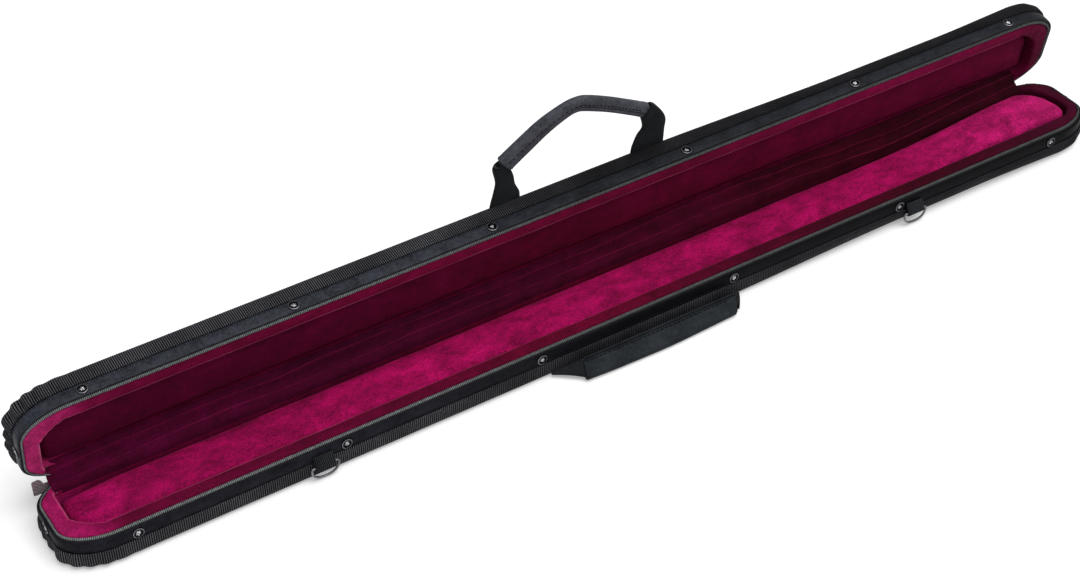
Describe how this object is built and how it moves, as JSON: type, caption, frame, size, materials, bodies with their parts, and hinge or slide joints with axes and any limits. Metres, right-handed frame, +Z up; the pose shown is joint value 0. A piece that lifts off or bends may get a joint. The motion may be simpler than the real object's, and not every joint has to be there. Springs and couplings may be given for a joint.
{
  "type": "bow case",
  "caption": "Slim velvet-lined violin bow case, open on its cloth hinge, with a zip rim, riveted and ribbed edging, carrying handles and D-rings.",
  "frame": {"origin": "centre of the base's flat underside", "axes": "+X along the case, towards the end where the zip slider parks; +Y from the front wall with the handles to the hinge; +Z up"},
  "size_m": [0.7988, 0.1034, 0.1597],
  "materials": {
    "nylon_cover": "black woven nylon over padding",
    "board": "raw fibre board",
    "velvet_lining": "crimson velvet over foam",
    "velvet_pad": "crimson velvet, brushed nap",
    "ribbed_webbing": "black ribbed webbing",
    "smooth_band": "smooth black leatherette",
    "zip_tape": "woven zip tape",
    "zip_coil": "moulded coil",
    "rivet_metal": "black nickel plate",
    "hinge_cloth": "black woven cloth",
    "slider_metal": "nickel plate",
    "ring_metal": "nickel-plated wire",
    "handle_grip": "stitched leatherette",
    "handle_strap": "black webbing"
  },
  "bodies": {
    "base": {"base_cover": "nylon_cover", "base_shell": "board", "base_lining_front": "velvet_lining", "base_lining_back": "velvet_lining", "base_lining_left": "velvet_lining", "base_lining_right": "velvet_lining", "base_floor_pad": "velvet_pad", "base_webbing": "ribbed_webbing", "base_band": "smooth_band", "base_zip_tape": "zip_tape", "base_zip_coil": "zip_coil", "base_rivet_front_1": "rivet_metal", "base_rivet_front_2": "rivet_metal", "base_rivet_front_3": "rivet_metal", "base_rivet_front_4": "rivet_metal", "base_rivet_front_5": "rivet_metal", "base_rivet_front_6": "rivet_metal", "base_rivet_left_end": "rivet_metal", "base_rivet_right_end": "rivet_metal", "base_hinge_leaf": "hinge_cloth", "zip_end_tab_left": "zip_tape", "zip_end_tab_right": "zip_tape", "d_ring_tab_left": "handle_strap", "d_ring_tab_right": "handle_strap"},
    "lid": {"lid_cover": "nylon_cover", "lid_shell": "board", "lid_lining_front": "velvet_lining", "lid_lining_back": "velvet_lining", "lid_lining_left": "velvet_lining", "lid_lining_right": "velvet_lining", "lid_floor_pad": "velvet_pad", "lid_webbing": "ribbed_webbing", "lid_band": "smooth_band", "lid_zip_tape": "zip_tape", "lid_zip_coil": "zip_coil", "lid_rivet_front_1": "rivet_metal", "lid_rivet_front_2": "rivet_metal", "lid_rivet_front_3": "rivet_metal", "lid_rivet_front_4": "rivet_metal", "lid_rivet_front_5": "rivet_metal", "lid_rivet_front_6": "rivet_metal", "lid_rivet_left_end": "rivet_metal", "lid_rivet_right_end": "rivet_metal", "lid_hinge_leaf": "hinge_cloth"},
    "lid_handle": {"lid_handle_grip": "handle_grip", "lid_handle_strap_left": "handle_strap", "lid_handle_strap_right": "handle_strap"},
    "base_handle": {"base_handle_grip": "handle_grip", "base_handle_strap_left": "handle_strap", "base_handle_strap_right": "handle_strap"},
    "ring_left": {"d_ring_left": "ring_metal"},
    "ring_right": {"d_ring_right": "ring_metal"},
    "slider": {"zip_slider": "slider_metal"},
    "pull": {"zip_pull": "slider_metal"}
  },
  "joints": [
    {"name": "lid_hinge", "type": "hinge", "parent": "base", "child": "lid", "pos_m": [0, 0.03225, 0.022], "axis": [-1, 0, 0], "range_deg": [-79.5, 100.5]},
    {"name": "lid_handle_swing", "type": "hinge", "parent": "lid", "child": "lid_handle", "pos_m": [0, 0.04014, 0.09084], "axis": [-1, 0, 0], "range_deg": [-45, 120]},
    {"name": "base_handle_swing", "type": "hinge", "parent": "base", "child": "base_handle", "pos_m": [0, -0.0345, 0.0074], "axis": [-1, 0, 0], "range_deg": [0, 70]},
    {"name": "ring_left_swing", "type": "hinge", "parent": "base", "child": "ring_left", "pos_m": [-0.23299, -0.0352, 0.0102], "axis": [-1, 0, 0], "range_deg": [0, 150]},
    {"name": "ring_right_swing", "type": "hinge", "parent": "base", "child": "ring_right", "pos_m": [0.22829, -0.0352, 0.0102], "axis": [-1, 0, 0], "range_deg": [0, 150]},
    {"name": "slider_travel", "type": "slide", "parent": "base", "child": "slider", "axis": [0, 0, 1], "range_m": [0, 0.003]},
    {"name": "pull_swing", "type": "hinge", "parent": "slider", "child": "pull", "pos_m": [0.39126, 0.03073, 0.0134], "axis": [0.8552, -0.5183, 0], "range_deg": [0, 110]}
  ]
}
